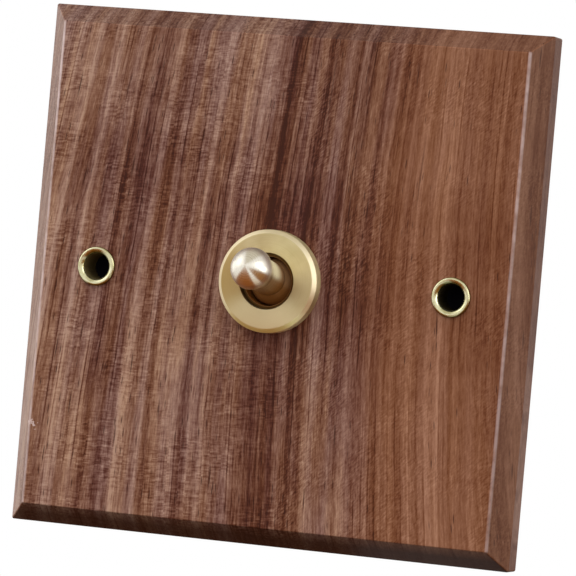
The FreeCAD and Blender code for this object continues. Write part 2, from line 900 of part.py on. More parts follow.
doc.recompute()
for item in doc.Objects:
    if "Invalid" in item.State or "Error" in item.State:
        raise ValueError(item.Name + " failed")
os.makedirs("parts", exist_ok=True)
for node in nodes:
    if node.Shape.isNull() or not node.Shape.isValid():
        raise ValueError(node.Label + " has no valid shape")
    node.Shape.exportStep("parts/%s.step" % node.Label)
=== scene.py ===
from math import cos, pi, radians, sin

import bmesh
import bpy
from mathutils import Matrix, Vector


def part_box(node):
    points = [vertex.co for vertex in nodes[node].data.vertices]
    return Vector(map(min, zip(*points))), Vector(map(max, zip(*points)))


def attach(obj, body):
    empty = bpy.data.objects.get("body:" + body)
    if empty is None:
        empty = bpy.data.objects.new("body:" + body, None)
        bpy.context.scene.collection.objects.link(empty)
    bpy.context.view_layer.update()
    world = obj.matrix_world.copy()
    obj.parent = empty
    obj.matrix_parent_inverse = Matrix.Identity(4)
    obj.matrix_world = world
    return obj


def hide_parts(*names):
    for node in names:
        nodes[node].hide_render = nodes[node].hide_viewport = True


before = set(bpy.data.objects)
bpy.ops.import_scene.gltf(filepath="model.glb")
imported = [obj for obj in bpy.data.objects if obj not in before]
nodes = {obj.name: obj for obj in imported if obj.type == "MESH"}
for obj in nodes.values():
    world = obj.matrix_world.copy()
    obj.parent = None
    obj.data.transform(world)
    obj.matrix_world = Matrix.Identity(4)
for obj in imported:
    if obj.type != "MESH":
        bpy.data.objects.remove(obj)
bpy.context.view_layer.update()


# Walnut plate. One square of black walnut with four planed bevels, the grain upright, hollowed behind
# and bored for the bush and the two eyelets. It is sanded and rubbed with oil, so the pores stay open.
def linear(colour):
    """An sRGB hex colour as linear red, green, blue and alpha."""
    parts = [int(colour[i:i + 2], 16) / 255 for i in (1, 3, 5)]
    return [c / 12.92 if c <= 0.04045 else ((c + 0.055) / 1.055) ** 2.4 for c in parts] + [1.0]


def put(tree, kind, sockets=None, stops=None, **settings):
    """Adds a node and gives back its first output in use. A socket takes a value or another node's output,
    and stops are a ramp's colours or tones."""
    made = tree.nodes.new("ShaderNode" + kind)
    for word, value in settings.items():
        setattr(made, word, value)
    for place, value in (sockets or {}).items():
        if isinstance(value, bpy.types.NodeSocket):
            tree.links.new(value, made.inputs[place])
        else:
            made.inputs[place].default_value = value
    if stops:
        points = made.color_ramp.elements
        while len(points) < len(stops):
            points.new(1.0)
        for point, (place, colour) in zip(points, stops):
            point.position = place
            point.color = linear(colour) if isinstance(colour, str) else (colour, colour, colour, 1.0)
    return next(out for out in made.outputs if out.enabled)


def finish(name):
    """A new material, with its node tree and its shader."""
    material = bpy.data.materials.new(name)
    material.use_nodes = True
    tree = material.node_tree
    return material, tree, tree.nodes["Principled BSDF"]


def dress(material, *names):
    """Puts a material on CAD nodes."""
    for name in names:
        mesh = nodes[name].data
        mesh.materials.clear()
        mesh.materials.append(material)


# Oiled walnut: tan and purple-brown growth bands that bow gently across the plate, short dark pores
# along the grain, and a fine cross ripple where the fibres rise and dip, on a low satin sheen.
MM = 1000.0
GRAIN_LEAN = 0.03
GRAIN_BOW = 0.001
GRAIN_FAN = 0.0021
WANDER_MM = 1.8
WANDER_LONG_MM = 16.0
BAND_HALF_MM = 45.0
walnut, tree, shader = finish("oiled_walnut")
place = put(tree, "TexCoord").node
in_mm = put(tree, "VectorMath", {0: place.outputs["Object"], 3: MM}, operation="SCALE")
split = put(tree, "SeparateXYZ", {0: in_mm}).node
x, y, z = split.outputs
bow = put(tree, "Math", {0: z, 1: z}, operation="MULTIPLY")
across = put(tree, "Math", {0: bow, 1: -GRAIN_BOW, 2: x}, operation="MULTIPLY_ADD")
across = put(tree, "Math", {0: z, 1: -GRAIN_LEAN, 2: across}, operation="MULTIPLY_ADD")
fan = put(tree, "Math", {0: x, 1: z}, operation="MULTIPLY")
across = put(tree, "Math", {0: fan, 1: GRAIN_FAN, 2: across}, operation="MULTIPLY_ADD")
slow = put(tree, "VectorMath", {0: in_mm, 1: (1.0, 1.0, 0.45)}, operation="MULTIPLY")
wander = put(tree, "TexNoise", {"Vector": slow, "Scale": 1 / WANDER_LONG_MM, "Detail": 2.0})
wander = put(tree, "Math", {0: wander, 1: 0.5}, operation="SUBTRACT")
across = put(tree, "Math", {0: wander, 1: WANDER_MM, 2: across}, operation="MULTIPLY_ADD")
grain = put(tree, "CombineXYZ", {0: across, 1: y, 2: z})

# The broad growth bands, from the left edge to the right. Each stop is a place in millimetres and a tone.
BANDS = (
    (-42, 0.72), (-37, 0.66), (-35.5, 0.48), (-34, 0.68), (-30, 0.6), (-28, 0.42), (-24, 0.43),
    (-21.5, 0.68), (-19.5, 0.58), (-18, 0.42), (-17, 0.6), (-15, 0.37), (-13.5, 0.6), (-12, 0.46),
    (-10, 0.62), (-5, 0.54), (-2.6, 0.36), (-1.3, 0.2), (2.0, 0.17), (3.0, 0.3), (4.4, 0.18), (6.0, 0.2),
    (7.6, 0.42), (12, 0.4), (19, 0.4), (24, 0.54), (28, 0.56), (31, 0.46), (40, 0.46),
)
spot = put(tree, "MapRange", {0: across, 1: -BAND_HALF_MM, 2: BAND_HALF_MM})
band = put(tree, "ValToRGB", {0: spot},
           [((mm + BAND_HALF_MM) / (2 * BAND_HALF_MM), tone) for mm, tone in BANDS])
tone = put(tree, "RGBToBW", {0: band})

# Right of the dark core the wood turns red and calmer.
RED_FROM_MM = 12.0
RED_TO_MM = 21.0
side = put(tree, "MapRange", {0: across, 1: RED_FROM_MM, 2: RED_TO_MM})
calm = put(tree, "MapRange", {0: side, 3: 1.0, 4: 0.6})

# Streaks run the whole height, and fibres are short dashes along them. Each row gives a width in millimetres,
# how much it shrinks the grain in depth and in height, and a strength.
STREAKS = ((4.0, 0.1, 0.02, 0.6), (1.3, 0.12, 0.012, 1.6), (0.32, 0.6, 0.13, 1.2))
for wide, deep, stretch, strength in STREAKS:
    along = put(tree, "VectorMath", {0: grain, 1: (1.0, deep, stretch)}, operation="MULTIPLY")
    line = put(tree, "TexNoise", {"Vector": along, "Scale": 1 / wide, "Detail": 4.0, "Roughness": 0.68})
    line = put(tree, "Math", {0: line, 1: 0.5}, operation="SUBTRACT")
    line = put(tree, "Math", {0: line, 1: calm}, operation="MULTIPLY")
    tone = put(tree, "Math", {0: line, 1: strength, 2: tone}, operation="MULTIPLY_ADD")

# The wood is made of narrow strips, each a little lighter or darker than the next, with sharp sides.
STRIP_MM = 1.1
strip = put(tree, "TexVoronoi", {"W": across, "Scale": 1 / STRIP_MM}, voronoi_dimensions="1D").node
strip = put(tree, "SeparateColor", {0: strip.outputs["Color"]}).node
lift = put(tree, "Math", {0: strip.outputs[0], 1: 0.5}, operation="SUBTRACT")
lift = put(tree, "Math", {0: lift, 1: calm}, operation="MULTIPLY")
tone = put(tree, "Math", {0: lift, 1: 0.12, 2: tone}, operation="MULTIPLY_ADD")

# Here and there a strip ends in a thin dark line, which fades in and out along the grain.
LINE_MM = 0.16
BREAK_MM = 1.2
border = put(tree, "TexVoronoi", {"W": across, "Scale": 1 / STRIP_MM}, voronoi_dimensions="1D",
             feature="DISTANCE_TO_EDGE")
line = put(tree, "MapRange", {0: border, 1: LINE_MM / STRIP_MM, 2: 0.3 * LINE_MM / STRIP_MM})
broken = put(tree, "VectorMath", {0: grain, 1: (1.0, 0.2, 0.045)}, operation="MULTIPLY")
broken = put(tree, "TexNoise", {"Vector": broken, "Scale": 1 / BREAK_MM, "Detail": 2.0})
broken = put(tree, "MapRange", {0: broken, 1: 0.5, 2: 0.64})
line = put(tree, "Math", {0: line, 1: broken}, operation="MULTIPLY")
line = put(tree, "Math", {0: line, 1: calm}, operation="MULTIPLY")
tone = put(tree, "Math", {0: line, 1: -0.36, 2: tone}, operation="MULTIPLY_ADD")

# The figure: a fine ripple where the fibres dip, nearly level on the left and rising steeply right of the
# middle, and a little out of step from one strip to the next.
FLECK_MM = 0.36
STEP_MM = 0.5
LEFT_RISE = 0.08
RIGHT_RISE = 0.8
TURN_MM = 3.0
FIGURE_MM = 9.0
past = put(tree, "Math", {0: across, 1: TURN_MM}, operation="SUBTRACT")
past = put(tree, "Math", {0: past, 1: 0.0}, operation="MAXIMUM")
level = put(tree, "Math", {0: across, 1: -LEFT_RISE, 2: z}, operation="MULTIPLY_ADD")
level = put(tree, "Math", {0: past, 1: -RIGHT_RISE, 2: level}, operation="MULTIPLY_ADD")
level = put(tree, "Math", {0: strip.outputs[1], 1: STEP_MM, 2: level}, operation="MULTIPLY_ADD")
short = put(tree, "Math", {0: across, 1: 0.2}, operation="MULTIPLY")
short = put(tree, "Math", {0: past, 1: 0.3, 2: short}, operation="MULTIPLY_ADD")
flecked = put(tree, "CombineXYZ", {0: short, 1: y, 2: level})
fleck = put(tree, "TexNoise", {"Vector": flecked, "Scale": 1 / FLECK_MM, "Detail": 3.0, "Roughness": 0.6})
fleck = put(tree, "Math", {0: fleck, 1: 0.5}, operation="SUBTRACT")
figure = put(tree, "TexNoise", {"Vector": in_mm, "Scale": 1 / FIGURE_MM, "Detail": 1.0})
figure = put(tree, "MapRange", {0: figure, 1: 0.38, 2: 0.62, 3: 0.3, 4: 1.3})
figure = put(tree, "Math", {0: figure, 1: calm}, operation="MULTIPLY")
tone = put(tree, "Math", {0: fleck, 1: figure, 2: tone}, operation="MULTIPLY_ADD")

# Light and dark belts lie across the grain, falling to the right, where the fibres dip or rise as one, and
# two soft darker patches lie on either side of the collar, a little below the middle. A belt is a place up
# the plate and a change of tone, and a patch a place, a reach and a strength.
BELTS = (
    (-45, 0.08), (-33, 0.09), (-24, 0.1), (-14, 0.08), (-5, 0.03), (-1, 0.02), (3, -0.06), (9, -0.11),
    (14, -0.08), (22, 0.02), (32, 0.05), (50, 0.03),
)
BELT_FALL = 0.25
BELT_HALF_MM = 55.0
BELT_WAVE_MM = 12.0
CLOUD_MM = 14.0
cloud = put(tree, "VectorMath", {0: in_mm, 1: (0.6, 0.3, 1.8)}, operation="MULTIPLY")
cloud = put(tree, "TexNoise", {"Vector": cloud, "Scale": 1 / CLOUD_MM, "Detail": 2.0})
cloud = put(tree, "Math", {0: cloud, 1: 0.5}, operation="SUBTRACT")
belt = put(tree, "Math", {0: x, 1: BELT_FALL, 2: z}, operation="MULTIPLY_ADD")
belt = put(tree, "Math", {0: cloud, 1: BELT_WAVE_MM, 2: belt}, operation="MULTIPLY_ADD")
belt = put(tree, "MapRange", {0: belt, 1: -BELT_HALF_MM, 2: BELT_HALF_MM})
belt = put(tree, "ValToRGB", {0: belt},
           [((mm + BELT_HALF_MM) / (2 * BELT_HALF_MM), 0.5 + lift) for mm, lift in BELTS])
belt = put(tree, "Math", {0: put(tree, "RGBToBW", {0: belt}), 1: 0.5}, operation="SUBTRACT")
belt = put(tree, "Math", {0: cloud, 1: 0.4, 2: belt}, operation="MULTIPLY_ADD")
belt = put(tree, "Math", {0: belt, 1: calm}, operation="MULTIPLY")
tone = put(tree, "Math", {0: tone, 1: belt}, operation="ADD")
SHADES = ((14.0, -4.0, 10.0, 0.13), (-13.0, -6.0, 6.0, 0.14))
flat = put(tree, "CombineXYZ", {0: x, 2: z})
for right, up, wide, strength in SHADES:
    shade = put(tree, "VectorMath", {0: flat, 1: (right, 0.0, up)}, operation="DISTANCE")
    shade = put(tree, "MapRange", {0: shade, 1: 0.0, 2: wide, 3: strength, 4: 0.0},
                interpolation_type="SMOOTHSTEP")
    tone = put(tree, "Math", {0: tone, 1: shade}, operation="SUBTRACT")

# The tone picks a shade of three woods: tan and mauve lie in patches along the grain, and red lies right of
# the core.
TINT_MM = 2.6
tan = put(tree, "ValToRGB", {0: tone}, ((0.0, "#3E1A09"), (0.16, "#542814"), (0.37, "#6D422C"),
                                        (0.57, "#835944"), (0.83, "#9F775F"), (1.0, "#B18A70")))
mauve = put(tree, "ValToRGB", {0: tone}, ((0.0, "#3B1810"), (0.16, "#4F251A"), (0.37, "#674035"),
                                          (0.57, "#7D584D"), (0.83, "#987466"), (1.0, "#AA8879")))
red = put(tree, "ValToRGB", {0: tone}, ((0.0, "#3E1A06"), (0.25, "#653315"), (0.45, "#7C4B2E"),
                                        (0.6, "#8C5B3F"), (0.78, "#A06E52"), (1.0, "#B9886A")))
tint = put(tree, "VectorMath", {0: grain, 1: (1.0, 0.1, 0.08)}, operation="MULTIPLY")
tint = put(tree, "TexNoise", {"Vector": tint, "Scale": 1 / TINT_MM, "Detail": 2.0})
tint = put(tree, "MapRange", {0: tint, 1: 0.35, 2: 0.65})
wood = put(tree, "Mix", {0: tint, 6: tan, 7: mauve}, data_type="RGBA")
reddened = put(tree, "MapRange", {0: side, 4: 0.78})
wood = put(tree, "Mix", {0: reddened, 6: wood, 7: red}, data_type="RGBA")

# Open pores: dark dashes of three lengths, most of them in rows along the early wood. Each row gives a width
# and a length in millimetres, and where the dash fades and is darkest as shares of its cell.
ROW_MM = 1.6
rows = put(tree, "VectorMath", {0: grain, 1: (1.0, 0.2, 0.015)}, operation="MULTIPLY")
rows = put(tree, "TexNoise", {"Vector": rows, "Scale": 1 / ROW_MM, "Detail": 1.0})
rows = put(tree, "MapRange", {0: rows, 1: 0.4, 2: 0.56, 3: 0.3, 4: 0.95})
rows = put(tree, "Math", {0: side, 1: 0.3, 2: rows}, operation="MULTIPLY_ADD")
PORES = ((0.4, 3.4, 0.3, 0.14), (0.9, 13.0, 0.2, 0.07), (1.7, 70.0, 0.12, 0.04))
pore = None
for wide, tall, rim, core in PORES:
    long = put(tree, "VectorMath", {0: grain, 1: (1.0, 1.0, wide / tall)}, operation="MULTIPLY")
    cell = put(tree, "TexVoronoi", {"Vector": long, "Scale": 1 / wide}).node
    near = put(tree, "MapRange", {0: cell.outputs["Distance"], 1: rim, 2: core})
    some = put(tree, "SeparateColor", {0: cell.outputs["Color"]})
    some = put(tree, "Math", {0: some, 1: rows}, operation="GREATER_THAN")
    near = put(tree, "Math", {0: near, 1: some}, operation="MULTIPLY")
    pore = near if pore is None else put(tree, "Math", {0: near, 1: pore}, operation="MAXIMUM")
deep_pore = put(tree, "Math", {0: pore, 1: 0.8}, operation="MULTIPLY")
wood = put(tree, "Mix", {0: deep_pore, 6: wood, 7: linear("#38170C")}, data_type="RGBA")

# Cut ends take more oil as end grain and are darker, and painted shade is added by the way each face turns:
# a little on the upper end, deep on the lower one, most of all near its lower edge and towards the right, and
# the thin side walls are painted darker too.
LOWER_SHADE_FROM_MM = -39.2
LOWER_SHADE_TO_MM = -41.0
normal = put(tree, "SeparateXYZ", {0: place.outputs["Normal"]}).node
upper_end_grain_and_shade = put(tree, "MapRange", {0: normal.outputs[2], 1: 0.3, 2: 0.7, 4: 0.5})
lower_end_shade = put(tree, "MapRange", {0: normal.outputs[2], 1: -0.2, 2: -0.7})
lower_edge_shade = put(tree, "MapRange", {0: z, 1: LOWER_SHADE_FROM_MM, 2: LOWER_SHADE_TO_MM, 3: 0.5, 4: 0.88})
lower_end_shade = put(tree, "Math", {0: lower_end_shade, 1: lower_edge_shade}, operation="MULTIPLY")
shade_to_right = put(tree, "MapRange", {0: x, 1: 0.0, 2: 30.0, 3: 1.0, 4: 1.08})
lower_end_shade = put(tree, "Math", {0: lower_end_shade, 1: shade_to_right}, operation="MULTIPLY")
sideways = put(tree, "Math", {0: normal.outputs[0]}, operation="ABSOLUTE")
wall = put(tree, "MapRange", {0: sideways, 1: 0.8, 2: 0.95, 4: 0.3})
oiled = put(tree, "Math", {0: upper_end_grain_and_shade, 1: lower_end_shade}, operation="MAXIMUM")
oiled = put(tree, "Math", {0: oiled, 1: wall}, operation="MAXIMUM")
wood = put(tree, "Mix", {0: oiled, 6: wood, 7: linear("#2A0F06")}, data_type="RGBA")

# The upright bevels are painted with sheen and shade, a pale pinkish grey on the left and a darker grey on
# the right, and their arrises with a pale painted highlight, patchy and brightest on the left and higher up.
# On the left there is also one small knock, a real mark in the same pale colour.
ARRIS_MM = 39.5
ARRIS_HALF_MM = 0.13
ARRIS_END_MM = 0.2
BEVEL_FOOT_MM = -6.4
BEVEL_TOP_MM = -7.0
PATCH_MM = 2.2
KNOCK_AT_MM = (-39.1, -7.4, -26.6)
TEAR_MM = 0.55
bevel = put(tree, "MapRange", {0: sideways, 1: 0.5, 2: 0.65, 4: 0.45})
bevel = put(tree, "Math", {0: bevel, 1: wall}, operation="SUBTRACT", use_clamp=True)
bevel_sheen_and_shade = put(tree, "ValToRGB", {0: put(tree, "MapRange", {0: x, 1: -1.0, 2: 1.0})},
             ((0.0, "#8E7264"), (1.0, "#523A2E")))
wood = put(tree, "Mix", {0: bevel, 6: wood, 7: bevel_sheen_and_shade}, data_type="RGBA")
off = put(tree, "Math", {0: x}, operation="ABSOLUTE")
off = put(tree, "Math", {0: off, 1: ARRIS_MM}, operation="SUBTRACT")
off = put(tree, "Math", {0: off}, operation="ABSOLUTE")
arris_highlight_and_knock = put(tree, "MapRange", {0: off, 1: 2.4 * ARRIS_HALF_MM, 2: ARRIS_HALF_MM})
ends = put(tree, "Math", {0: z}, operation="ABSOLUTE")
ends = put(tree, "MapRange", {0: ends, 1: ARRIS_MM + ARRIS_END_MM, 2: ARRIS_MM - ARRIS_END_MM})
arris_highlight_and_knock = put(tree, "Math", {0: arris_highlight_and_knock, 1: ends}, operation="MULTIPLY")
patchy = put(tree, "TexNoise", {"Vector": in_mm, "Scale": 1 / PATCH_MM, "Detail": 3.0})
patchy = put(tree, "MapRange", {0: patchy, 1: 0.3, 2: 0.6, 3: 0.45, 4: 1.0})
# The painted arris highlight is stronger on the left than on the right.
marks_and_highlight_share = put(tree, "MapRange", {0: x, 1: -1.0, 2: 1.0, 3: 0.95, 4: 0.6})
higher = put(tree, "MapRange", {0: z, 1: -ARRIS_MM, 2: ARRIS_MM, 3: 0.5, 4: 1.0})
front = put(tree, "MapRange", {0: y, 1: BEVEL_FOOT_MM, 2: BEVEL_TOP_MM})
for share in (patchy, marks_and_highlight_share, higher, front):
    arris_highlight_and_knock = put(tree, "Math", {0: arris_highlight_and_knock, 1: share}, operation="MULTIPLY")
knock = put(tree, "VectorMath", {0: in_mm, 1: KNOCK_AT_MM}, operation="DISTANCE")
torn = put(tree, "TexNoise", {"Vector": in_mm, "Scale": 1 / TEAR_MM, "Detail": 3.0})
torn = put(tree, "MapRange", {0: torn, 1: 0.36, 2: 0.66, 3: -0.3, 4: 1.3})
knock = put(tree, "Math", {0: torn, 1: knock}, operation="SUBTRACT")
knock = put(tree, "MapRange", {0: knock, 1: 0.0, 2: 0.3, 4: 0.7})
arris_highlight_and_knock = put(tree, "Math", {0: arris_highlight_and_knock, 1: knock}, operation="MAXIMUM")
wood = put(tree, "Mix", {0: arris_highlight_and_knock, 6: wood, 7: linear("#D8BFBA")}, data_type="RGBA")
tree.links.new(wood, shader.inputs["Base Color"])

RELIEF_MM = 0.08
height = put(tree, "Math", {0: pore, 1: -0.8, 2: tone}, operation="MULTIPLY_ADD")
bump = put(tree, "Bump", {"Height": height, "Strength": 0.35, "Distance": RELIEF_MM / MM})
tree.links.new(bump, shader.inputs["Normal"])
sheen = put(tree, "MapRange", {0: tone, 3: 0.56, 4: 0.4})
tree.links.new(sheen, shader.inputs["Roughness"])
shader.inputs["Specular IOR Level"].default_value = 0.12
dress(walnut, "walnut_plate")


# Eyelets. Two brass tubes set in the screw holes, each with a flared mouth and a rolled lip pressed on to
# the wood in front, and its tail clinched behind.
def arc(along, out, radius, start, end, steps):
    """Points of an outline round a centre, from one angle to another; 0 points outwards, 90 forwards."""
    turns = [radians(start + (end - start) * i / steps) for i in range(steps + 1)]
    return [(along - radius * sin(turn), out + radius * cos(turn)) for turn in turns]


def settle(form, name):
    """Makes an object of a shape, in its place."""
    mesh = bpy.data.meshes.new(name)
    form.to_mesh(mesh)
    form.free()
    piece = bpy.data.objects.new(name, mesh)
    bpy.context.scene.collection.objects.link(piece)
    return piece


SHARP_ANGLE = radians(35)
MERGE = 1e-7


def lathe(name, profile, axis, centre, corners, steps=96):
    """Turns an outline of (along, out) points about an axis, with each corner rounded by its radius."""
    form = bmesh.new()
    dots = [form.verts.new((out, along, 0.0)) for along, out in profile]
    for start, end in zip(dots, dots[1:]):
        form.edges.new((start, end))
    if profile[0][1]:
        form.edges.new((dots[-1], dots[0]))
    for dot, radius in zip(dots, corners):
        if radius:
            bmesh.ops.bevel(form, geom=[dot], offset=radius, offset_type="OFFSET", affect="VERTICES",
                            segments=5, profile=0.5, material=-1)
    bmesh.ops.spin(form, geom=form.verts[:] + form.edges[:], cent=(0, 0, 0), axis=(0, 1, 0),
                   angle=2 * pi, steps=steps, use_merge=True)
    bmesh.ops.remove_doubles(form, verts=form.verts, dist=MERGE)
    bmesh.ops.recalc_face_normals(form, faces=form.faces)
    turn = Vector((0, 1, 0)).rotation_difference(Vector(axis)).to_matrix().to_4x4()
    bmesh.ops.transform(form, matrix=Matrix.Translation(centre) @ turn, verts=form.verts)
    piece = settle(form, name)
    piece.data.shade_smooth()
    piece.data.set_sharp_from_angle(angle=SHARP_ANGLE)
    return piece


EYELET_BORE_R = 0.0021
EYELET_TUBE_R = 0.00255
CLINCH_R = 0.0031
CLINCH_THICK = 0.0004
MOUTH_R = 0.00075
ROLL_R = 0.00035
eyelets = []
plate_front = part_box("walnut_plate")[0].y
for name in ("left_eyelet", "right_eyelet"):
    low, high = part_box(name)
    middle = (low + high) / 2
    flange_r = (high.x - low.x) / 2
    outline = arc(low.y + MOUTH_R, EYELET_BORE_R + MOUTH_R, MOUTH_R, 180, 90, 14)
    outline += arc(low.y + ROLL_R, flange_r - ROLL_R, ROLL_R, 90, 0, 10)
    outline += [(plate_front, flange_r), (plate_front, EYELET_TUBE_R),
                (high.y - CLINCH_THICK, EYELET_TUBE_R), (high.y - CLINCH_THICK, CLINCH_R),
                (high.y, CLINCH_R), (high.y, EYELET_BORE_R)]
    eyelet = lathe("rolled_" + name, outline, (0, 1, 0), (middle.x, 0, middle.z), [0] * len(outline))
    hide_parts(name)
    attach(eyelet, "base")
    eyelets.append(eyelet)
eyelet_x = middle.x

# Polished brass: pale, slightly green, with soft handling marks, with painted shade where it faces down and
# round the outside of the lip, and a tarnished brown inside the bore, painted lighter in the left eyelet and
# darker in the right as painted light and shade.
MARK_MM = 0.9
BORE_FADE = 0.00007
BORE_DARK = 0.00002
eyelet_brass, tree, shader = finish("polished_brass")
place = put(tree, "TexCoord").node
marks = put(tree, "TexNoise", {"Vector": place.outputs["Object"], "Scale": MM / MARK_MM, "Detail": 3.0})
colour = put(tree, "ValToRGB", {0: marks}, ((0.3, "#C6C092"), (0.7, "#E2DDBA")))
split = put(tree, "SeparateXYZ", {0: place.outputs["Object"]}).node
off = put(tree, "Math", {0: split.outputs[0]}, operation="ABSOLUTE")
off = put(tree, "Math", {0: off, 1: eyelet_x}, operation="SUBTRACT")
reach = put(tree, "CombineXYZ", {0: off, 1: split.outputs[2]})
reach = put(tree, "VectorMath", {0: reach}, operation="LENGTH")
facing = put(tree, "SeparateXYZ", {0: place.outputs["Normal"]}).node.outputs[2]
# Painted shade where the brass faces down.
painted_underside = put(tree, "MapRange", {0: facing, 1: -0.1, 2: -0.6, 4: 0.85}, interpolation_type="SMOOTHSTEP")
colour = put(tree, "Mix", {0: painted_underside, 6: colour, 7: linear("#5F6036")}, data_type="RGBA")
inside = put(tree, "MapRange", {0: reach, 1: EYELET_BORE_R + BORE_FADE, 2: EYELET_BORE_R + BORE_DARK})
# The bore's tarnish is painted lighter in the left eyelet and darker in the right, as painted light and
# shade.
tarnish = put(tree, "MapRange", {0: split.outputs[0], 1: -eyelet_x, 2: eyelet_x})
tarnish = put(tree, "ValToRGB", {0: tarnish}, ((0.0, "#86764E"), (1.0, "#3E3622")))
colour = put(tree, "Mix", {0: inside, 6: colour, 7: tarnish}, data_type="RGBA")
# Painted shade round the outside of the lip, where it meets the wood.
painted_lip_shade = put(tree, "MapRange", {0: reach, 1: flange_r - 0.6 * ROLL_R, 2: flange_r - 0.1 * ROLL_R, 4: 0.75})
colour = put(tree, "Mix", {0: painted_lip_shade, 6: colour, 7: linear("#8F8450")}, data_type="RGBA")
tree.links.new(colour, shader.inputs["Base Color"])
rough = put(tree, "MapRange", {0: marks, 3: 0.16, 4: 0.3})
rough = put(tree, "Math", {0: inside, 1: 0.4, 2: rough}, operation="MULTIPLY_ADD")
tree.links.new(rough, shader.inputs["Roughness"])
shader.inputs["Metallic"].default_value = 1.0
for eyelet in eyelets:
    eyelet.data.materials.append(eyelet_brass)


# Collar. A flat brass ring turned on the lathe, bevelled outside and with a plain round well, screwed
# on to the bush against the front of the plate.
low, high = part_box("collar_ring")
COLLAR_R = 0.0083
COLLAR_BEVEL = 0.00062
WELL_R = 0.0045
COLLAR_LIP = 0.0008
COLLAR_BORE_R = 0.00605
COLLAR_ROUND = 0.00012
WELL_ROUND = 0.00016
face, back = low.y, high.y
collar = lathe("turned_collar",
               [(back, COLLAR_R), (face + COLLAR_BEVEL, COLLAR_R), (face, COLLAR_R - COLLAR_BEVEL),
                (face, WELL_R), (face + COLLAR_LIP, WELL_R), (face + COLLAR_LIP, COLLAR_BORE_R),
                (back, COLLAR_BORE_R)],
               (0, 1, 0), (0, 0, 0), (0, COLLAR_ROUND, COLLAR_ROUND, WELL_ROUND, 0, 0, 0), 160)

# Satin brass: a fine turned grain in rings, so the light draws out across them into paler and deeper fan
# shapes, and a bright-cut bevel round the edge. Darker golden fan shapes are also painted to the left and
# right and paler light on the lower part, as painted reflections, the bevel is painted paler as a highlight
# besides being bright-cut, and the wall of the well is painted a dark brown shade. The rings are drawn as
# coarse as they need to be to show.
AXIS = (0.0, 1.0, 0.0)
TURNING_MM = 0.11
TURNING_DEEP_MM = 0.01
DULL_MM = 4.0
EDGE_SOFT = 0.00004
collar_brass, tree, shader = finish("satin_turned_brass")
place = put(tree, "TexCoord").node
around = put(tree, "VectorMath", {0: AXIS, 1: place.outputs["Object"]}, operation="CROSS_PRODUCT")
reach = put(tree, "VectorMath", {0: around}, operation="LENGTH")
rings = put(tree, "TexNoise", {"W": reach, "Scale": MM / TURNING_MM, "Detail": 2.0}, noise_dimensions="1D")
cloud = put(tree, "TexNoise", {"Vector": place.outputs["Object"], "Scale": MM / DULL_MM, "Detail": 2.0})
mixed = put(tree, "Math", {0: rings, 1: 0.35, 2: cloud}, operation="MULTIPLY_ADD")
colour = put(tree, "ValToRGB", {0: mixed}, ((0.4, "#C2B182"), (0.9, "#DCCFA4")))
split = put(tree, "SeparateXYZ", {0: place.outputs["Object"]}).node
sideways = put(tree, "Math", {0: split.outputs[0], 1: reach}, operation="DIVIDE")
# Painted reflection: darker golden fan shapes to the left and right of the face.
painted_left_fan = put(tree, "MapRange", {0: sideways, 1: -0.5, 2: -1.0, 4: 0.7}, interpolation_type="SMOOTHSTEP")
painted_right_fan = put(tree, "MapRange", {0: sideways, 1: 0.6, 2: 1.0, 4: 0.15}, interpolation_type="SMOOTHSTEP")
painted_fans = put(tree, "Math", {0: painted_left_fan, 1: painted_right_fan}, operation="MAXIMUM")
colour = put(tree, "Mix", {0: painted_fans, 6: colour, 7: linear("#AA8748")}, data_type="RGBA")
# Painted light: the lower part of the face is paler.
painted_lower_light = put(tree, "Math", {0: split.outputs[2], 1: reach}, operation="DIVIDE")
painted_lower_light = put(tree, "MapRange", {0: painted_lower_light, 1: -0.4, 2: -1.0, 4: 0.8}, interpolation_type="SMOOTHSTEP")
colour = put(tree, "Mix", {0: painted_lower_light, 6: colour, 7: linear("#E9DDB2")}, data_type="RGBA")
bevel_r = COLLAR_R - COLLAR_BEVEL
bevel_y = face + COLLAR_BEVEL
# The bright-cut bevel is painted paler, a painted highlight.
edge = put(tree, "MapRange", {0: reach, 1: bevel_r - EDGE_SOFT, 2: bevel_r + EDGE_SOFT})
deep = put(tree, "MapRange", {0: split.outputs[1], 1: bevel_y + EDGE_SOFT, 2: bevel_y - EDGE_SOFT})
edge = put(tree, "Math", {0: edge, 1: deep}, operation="MULTIPLY")
bright = put(tree, "Mix", {0: painted_lower_light, 6: linear("#F0E2BE"), 7: linear("#E4E092")}, data_type="RGBA")
colour = put(tree, "Mix", {0: edge, 6: colour, 7: bright}, data_type="RGBA")
# Painted shade: the wall of the well is dark brown.
inside = put(tree, "MapRange", {0: reach, 1: WELL_R + 3 * EDGE_SOFT, 2: WELL_R + EDGE_SOFT / 2, 4: 0.85})
colour = put(tree, "Mix", {0: inside, 6: colour, 7: linear("#4E3414")}, data_type="RGBA")
tree.links.new(colour, shader.inputs["Base Color"])
rough = put(tree, "MapRange", {0: mixed, 1: 0.3, 2: 1.0, 3: 0.4, 4: 0.5})
rough = put(tree, "Math", {0: edge, 1: 0.06, 2: rough}, operation="MULTIPLY_ADD")
tree.links.new(rough, shader.inputs["Roughness"])
bump = put(tree, "Bump", {"Height": rings, "Strength": 0.12, "Distance": TURNING_DEEP_MM / MM})
tree.links.new(bump, shader.inputs["Normal"])
tangent = put(tree, "VectorTransform", {0: around}, convert_from="OBJECT", convert_to="WORLD")
tree.links.new(tangent, shader.inputs["Tangent"])
shader.inputs["Anisotropic"].default_value = 0.75
shader.inputs["Anisotropic Rotation"].default_value = 0.25
shader.inputs["Metallic"].default_value = 1.0
collar.data.materials.append(collar_brass)
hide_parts("collar_ring")
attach(collar, "base")


